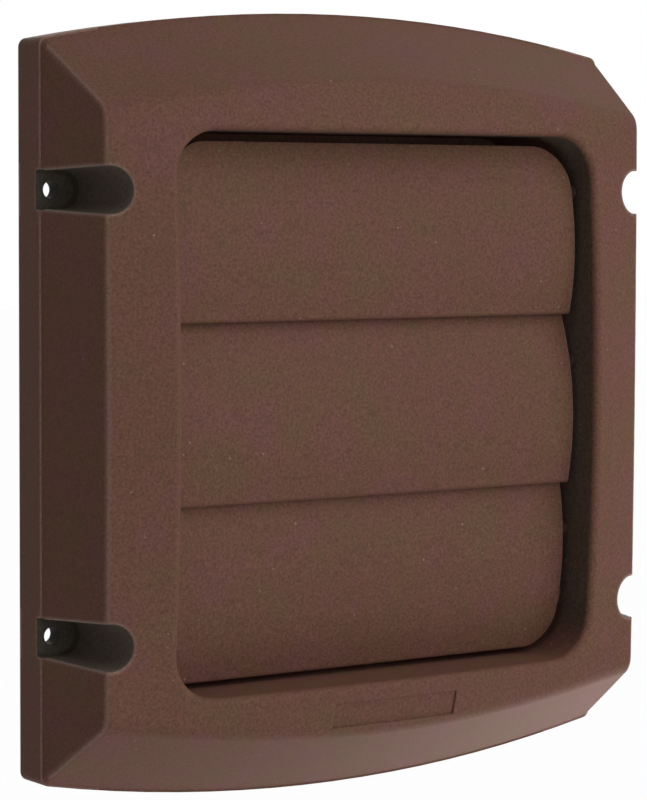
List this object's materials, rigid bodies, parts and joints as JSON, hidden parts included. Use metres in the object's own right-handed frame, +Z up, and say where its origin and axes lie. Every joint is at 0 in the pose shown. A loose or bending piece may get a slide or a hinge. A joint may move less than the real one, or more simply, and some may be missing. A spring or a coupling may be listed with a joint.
{
  "type": "louvered exhaust vent cap",
  "caption": "Moulded wall cap for an exhaust duct: crowned arched hood, side screw wells, curved louver blades that swing outward on pivot pins, round duct collar behind.",
  "frame": {"origin": "on the duct's axis, in the plane of the wall that the rim stands on", "axes": "+Y into the wall along the duct, +Z up, +X to the right as seen from the front"},
  "size_m": [0.1774, 0.0797, 0.202],
  "materials": {
    "hood_plastic": "matt chocolate brown with a fine moulded grain",
    "louver_plastic": "matt chocolate brown with a fine moulded grain"
  },
  "bodies": {
    "hood": {"hood_frame": "hood_plastic"},
    "top_blade": {"louver_top": "louver_plastic"},
    "middle_blade": {"louver_middle": "louver_plastic"},
    "bottom_blade": {"louver_bottom": "louver_plastic"}
  },
  "joints": [
    {"name": "top_blade_swing", "type": "hinge", "parent": "hood", "child": "top_blade", "pos_m": [0, -0.0285, 0.0553], "axis": [-1, 0, 0], "range_deg": [0, 75]},
    {"name": "middle_blade_swing", "type": "hinge", "parent": "hood", "child": "middle_blade", "pos_m": [0, -0.0285, 0.0098], "axis": [-1, 0, 0], "range_deg": [0, 75]},
    {"name": "bottom_blade_swing", "type": "hinge", "parent": "hood", "child": "bottom_blade", "pos_m": [0, -0.0263, -0.0357], "axis": [-1, 0, 0], "range_deg": [0, 85]}
  ]
}
